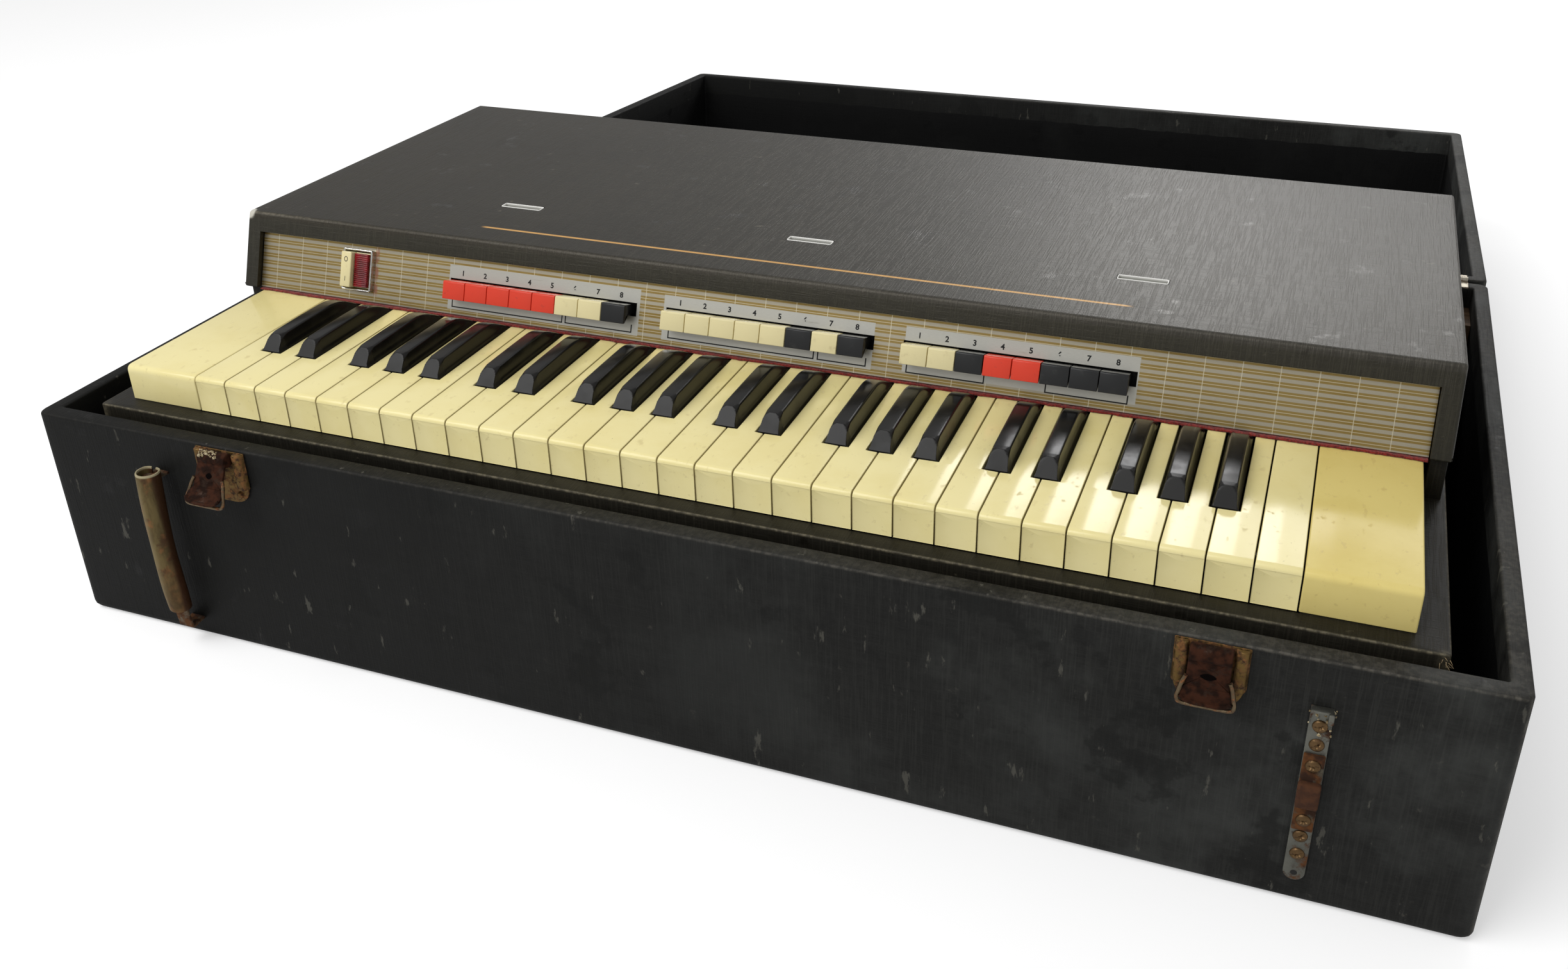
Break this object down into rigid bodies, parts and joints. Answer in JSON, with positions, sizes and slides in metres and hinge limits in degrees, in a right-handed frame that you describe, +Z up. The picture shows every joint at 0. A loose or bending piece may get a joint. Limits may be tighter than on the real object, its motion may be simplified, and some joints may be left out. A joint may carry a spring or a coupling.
{
  "type": "combo organ",
  "caption": "Portable electric organ with piano style keys and rows of rocker tabs, seated in an open carrying case with latches and handles",
  "frame": {"origin": "centre of the case's underside, on the surface that it stands on", "axes": "+X towards the high notes, +Y from the player to the open lid, +Z up"},
  "size_m": [0.896, 1.0825, 0.2356],
  "materials": {
    "case_vinyl": "worn charcoal vinyl cloth with a linen grain, scuffed and dusty",
    "hood_vinyl": "charcoal vinyl cloth with a linen grain, paler sheen to the right",
    "pine": "bare softwood, dark with age",
    "steel": "zinc plated steel, dulled",
    "rusty_steel": "rusted steel with traces of zinc",
    "brass_plate": "tarnished brass plating with rust",
    "panel_aluminium": "silver and gold striped anodised aluminium",
    "ivory_plastic": "yellowed ivory plastic, glossy",
    "cream_plastic": "cream plastic",
    "black_plastic": "glossy black plastic",
    "red_plastic": "tomato red plastic",
    "red_lens": "ribbed dark red lens",
    "red_felt": "frayed dark red felt",
    "chrome_trim": "chrome plated",
    "circuit_board": "brown paper laminate with parts",
    "lamination_steel": "varnished laminations"
  },
  "bodies": {
    "case": {"case_base": "case_vinyl", "bearer_front": "pine", "bearer_rear": "pine", "hinge_leaf_base": "steel", "latch_plate_left": "brass_plate", "latch_plate_right": "brass_plate", "handle_strap_left": "rusty_steel", "handle_strap_right": "rusty_steel", "base_board": "hood_vinyl", "cheek_left": "ivory_plastic", "cheek_right": "ivory_plastic", "hood": "hood_vinyl", "control_panel": "panel_aluminium", "felt_strip": "red_felt", "rocker_bezel": "chrome_trim", "stand_socket_left": "steel", "stand_socket_middle": "steel", "stand_socket_right": "steel", "connector_panel": "steel", "key_frame": "steel", "contact_board": "circuit_board", "generator_board": "circuit_board", "power_transformer": "lamination_steel", "reverb_tank": "steel", "tab_rail": "steel"},
    "lid": {"case_lid": "case_vinyl", "hinge_leaf_lid": "steel", "lid_keeper_left": "brass_plate", "lid_keeper_right": "brass_plate"},
    "latch_lever_left": {"latch_lever_left": "rusty_steel"},
    "latch_bail_left": {"latch_bail_left": "steel"},
    "latch_lever_right": {"latch_lever_right": "rusty_steel"},
    "latch_bail_right": {"latch_bail_right": "steel"},
    "handle_grip_left": {"handle_sleeve_left": "rusty_steel"},
    "rocker": {"rocker_switch": "cream_plastic", "rocker_lens": "red_lens"},
    "tabs_low_red_1": {"tabs_low_red_1": "red_plastic"},
    "tabs_low_cream_1": {"tabs_low_cream_1": "cream_plastic"},
    "tabs_low_black_1": {"tabs_low_black_1": "black_plastic"},
    "tabs_middle_cream_1": {"tabs_middle_cream_1": "cream_plastic"},
    "tabs_middle_black_1": {"tabs_middle_black_1": "black_plastic"},
    "tabs_middle_cream_2": {"tabs_middle_cream_2": "cream_plastic"},
    "tabs_middle_black_2": {"tabs_middle_black_2": "black_plastic"},
    "tabs_high_cream_1": {"tabs_high_cream_1": "cream_plastic"},
    "tabs_high_black_1": {"tabs_high_black_1": "black_plastic"},
    "tabs_high_red_1": {"tabs_high_red_1": "red_plastic"},
    "tabs_high_black_2": {"tabs_high_black_2": "black_plastic"},
    "keys_1_c_e_g_b": {"keys_1_c_e_g_b": "ivory_plastic"},
    "keys_1_d_f_a": {"keys_1_d_f_a": "ivory_plastic"},
    "keys_1_sharps": {"keys_1_sharps": "black_plastic"},
    "keys_2_c_e_g_b": {"keys_2_c_e_g_b": "ivory_plastic"},
    "keys_2_d_f_a": {"keys_2_d_f_a": "ivory_plastic"},
    "keys_2_sharps": {"keys_2_sharps": "black_plastic"},
    "keys_3_c_e_g_b": {"keys_3_c_e_g_b": "ivory_plastic"},
    "keys_3_d_f_a": {"keys_3_d_f_a": "ivory_plastic"},
    "keys_3_sharps": {"keys_3_sharps": "black_plastic"},
    "keys_4_c_e_g_b": {"keys_4_c_e_g_b": "ivory_plastic"},
    "keys_4_d_f_a": {"keys_4_d_f_a": "ivory_plastic"},
    "keys_4_sharps": {"keys_4_sharps": "black_plastic"},
    "key_top_c": {"key_top_c": "ivory_plastic"}
  },
  "joints": [
    {"name": "lid_hinge", "type": "hinge", "parent": "case", "child": "lid", "pos_m": [0, 0.2652, 0.155], "axis": [1, 0, 0], "range_deg": [0, 183.4]},
    {"name": "latch_lever_left_swing", "type": "hinge", "parent": "case", "child": "latch_lever_left", "pos_m": [-0.2988, -0.2678, 0.1495], "axis": [-1, 0, 0], "range_deg": [-27, 22]},
    {"name": "latch_bail_left_swing", "type": "hinge", "parent": "latch_lever_left", "child": "latch_bail_left", "pos_m": [-0.2988, -0.27749, 0.13766], "axis": [-1, 0, 0], "range_deg": [0, 105]},
    {"name": "latch_lever_right_swing", "type": "hinge", "parent": "case", "child": "latch_lever_right", "pos_m": [0.3043, -0.2678, 0.1495], "axis": [-1, 0, 0], "range_deg": [0, 50]},
    {"name": "latch_bail_right_swing", "type": "hinge", "parent": "latch_lever_right", "child": "latch_bail_right", "pos_m": [0.3043, -0.2708, 0.1345], "axis": [-1, 0, 0], "range_deg": [0, 105]},
    {"name": "handle_grip_left_slide", "type": "slide", "parent": "case", "child": "handle_grip_left", "axis": [0, 0, 1], "range_m": [-0.01, 0.0005]},
    {"name": "rocker_tilt", "type": "hinge", "parent": "case", "child": "rocker", "pos_m": [-0.3142, -0.08224, 0.20283], "axis": [1, 0, 0], "range_deg": [0, 6]},
    {"name": "tabs_low_red_1_tilt", "type": "hinge", "parent": "case", "child": "tabs_low_red_1", "pos_m": [-0.1939, -0.08081, 0.20095], "axis": [1, 0, 0], "range_deg": [0, 6]},
    {"name": "tabs_low_cream_1_tilt", "type": "hinge", "parent": "case", "child": "tabs_low_cream_1", "pos_m": [-0.13265, -0.08081, 0.20095], "axis": [1, 0, 0], "range_deg": [0, 6]},
    {"name": "tabs_low_black_1_tilt", "type": "hinge", "parent": "case", "child": "tabs_low_black_1", "pos_m": [-0.1064, -0.08081, 0.20095], "axis": [1, 0, 0], "range_deg": [0, 6]},
    {"name": "tabs_middle_cream_1_tilt", "type": "hinge", "parent": "case", "child": "tabs_middle_cream_1", "pos_m": [-0.0281, -0.08081, 0.20095], "axis": [1, 0, 0], "range_deg": [0, 6]},
    {"name": "tabs_middle_black_1_tilt", "type": "hinge", "parent": "case", "child": "tabs_middle_black_1", "pos_m": [0.0244, -0.08081, 0.20095], "axis": [1, 0, 0], "range_deg": [0, 6]},
    {"name": "tabs_middle_cream_2_tilt", "type": "hinge", "parent": "case", "child": "tabs_middle_cream_2", "pos_m": [0.0419, -0.08081, 0.20095], "axis": [1, 0, 0], "range_deg": [0, 6]},
    {"name": "tabs_middle_black_2_tilt", "type": "hinge", "parent": "case", "child": "tabs_middle_black_2", "pos_m": [0.0594, -0.08081, 0.20095], "axis": [1, 0, 0], "range_deg": [0, 6]},
    {"name": "tabs_high_cream_1_tilt", "type": "hinge", "parent": "case", "child": "tabs_high_cream_1", "pos_m": [0.10905, -0.08081, 0.20095], "axis": [1, 0, 0], "range_deg": [0, 6]},
    {"name": "tabs_high_black_1_tilt", "type": "hinge", "parent": "case", "child": "tabs_high_black_1", "pos_m": [0.1353, -0.08081, 0.20095], "axis": [1, 0, 0], "range_deg": [0, 6]},
    {"name": "tabs_high_red_1_tilt", "type": "hinge", "parent": "case", "child": "tabs_high_red_1", "pos_m": [0.16155, -0.08081, 0.20095], "axis": [1, 0, 0], "range_deg": [0, 6]},
    {"name": "tabs_high_black_2_tilt", "type": "hinge", "parent": "case", "child": "tabs_high_black_2", "pos_m": [0.2053, -0.08081, 0.20095], "axis": [1, 0, 0], "range_deg": [0, 6]},
    {"name": "keys_1_c_e_g_b_press", "type": "hinge", "parent": "case", "child": "keys_1_c_e_g_b", "pos_m": [0, -0.0195, 0.1677], "axis": [1, 0, 0], "range_deg": [0, 1.9], "stiffness_Nm_per_rad": 4.5, "springref_deg": -4.01},
    {"name": "keys_1_d_f_a_press", "type": "hinge", "parent": "case", "child": "keys_1_d_f_a", "pos_m": [0, -0.0195, 0.1677], "axis": [1, 0, 0], "range_deg": [0, 1.9], "stiffness_Nm_per_rad": 4, "springref_deg": -4.01},
    {"name": "keys_1_sharps_press", "type": "hinge", "parent": "case", "child": "keys_1_sharps", "pos_m": [0, -0.0195, 0.1677], "axis": [1, 0, 0], "range_deg": [0, 1.9], "stiffness_Nm_per_rad": 5, "springref_deg": -4.01},
    {"name": "keys_2_c_e_g_b_press", "type": "hinge", "parent": "case", "child": "keys_2_c_e_g_b", "pos_m": [0, -0.0195, 0.1677], "axis": [1, 0, 0], "range_deg": [0, 1.9], "stiffness_Nm_per_rad": 4.5, "springref_deg": -4.01},
    {"name": "keys_2_d_f_a_press", "type": "hinge", "parent": "case", "child": "keys_2_d_f_a", "pos_m": [0, -0.0195, 0.1677], "axis": [1, 0, 0], "range_deg": [0, 1.9], "stiffness_Nm_per_rad": 4, "springref_deg": -4.01},
    {"name": "keys_2_sharps_press", "type": "hinge", "parent": "case", "child": "keys_2_sharps", "pos_m": [0, -0.0195, 0.1677], "axis": [1, 0, 0], "range_deg": [0, 1.9], "stiffness_Nm_per_rad": 5, "springref_deg": -4.01},
    {"name": "keys_3_c_e_g_b_press", "type": "hinge", "parent": "case", "child": "keys_3_c_e_g_b", "pos_m": [0, -0.0195, 0.1677], "axis": [1, 0, 0], "range_deg": [0, 1.9], "stiffness_Nm_per_rad": 4.5, "springref_deg": -4.01},
    {"name": "keys_3_d_f_a_press", "type": "hinge", "parent": "case", "child": "keys_3_d_f_a", "pos_m": [0, -0.0195, 0.1677], "axis": [1, 0, 0], "range_deg": [0, 1.9], "stiffness_Nm_per_rad": 4, "springref_deg": -4.01},
    {"name": "keys_3_sharps_press", "type": "hinge", "parent": "case", "child": "keys_3_sharps", "pos_m": [0, -0.0195, 0.1677], "axis": [1, 0, 0], "range_deg": [0, 1.9], "stiffness_Nm_per_rad": 5, "springref_deg": -4.01},
    {"name": "keys_4_c_e_g_b_press", "type": "hinge", "parent": "case", "child": "keys_4_c_e_g_b", "pos_m": [0, -0.0195, 0.1677], "axis": [1, 0, 0], "range_deg": [0, 1.9], "stiffness_Nm_per_rad": 4.5, "springref_deg": -4.01},
    {"name": "keys_4_d_f_a_press", "type": "hinge", "parent": "case", "child": "keys_4_d_f_a", "pos_m": [0, -0.0195, 0.1677], "axis": [1, 0, 0], "range_deg": [0, 1.9], "stiffness_Nm_per_rad": 4, "springref_deg": -4.01},
    {"name": "keys_4_sharps_press", "type": "hinge", "parent": "case", "child": "keys_4_sharps", "pos_m": [0, -0.0195, 0.1677], "axis": [1, 0, 0], "range_deg": [0, 1.9], "stiffness_Nm_per_rad": 5, "springref_deg": -4.01},
    {"name": "key_top_c_press", "type": "hinge", "parent": "case", "child": "key_top_c", "pos_m": [0, -0.0195, 0.1677], "axis": [1, 0, 0], "range_deg": [0, 1.9], "stiffness_Nm_per_rad": 1.6, "springref_deg": -4.01}
  ]
}
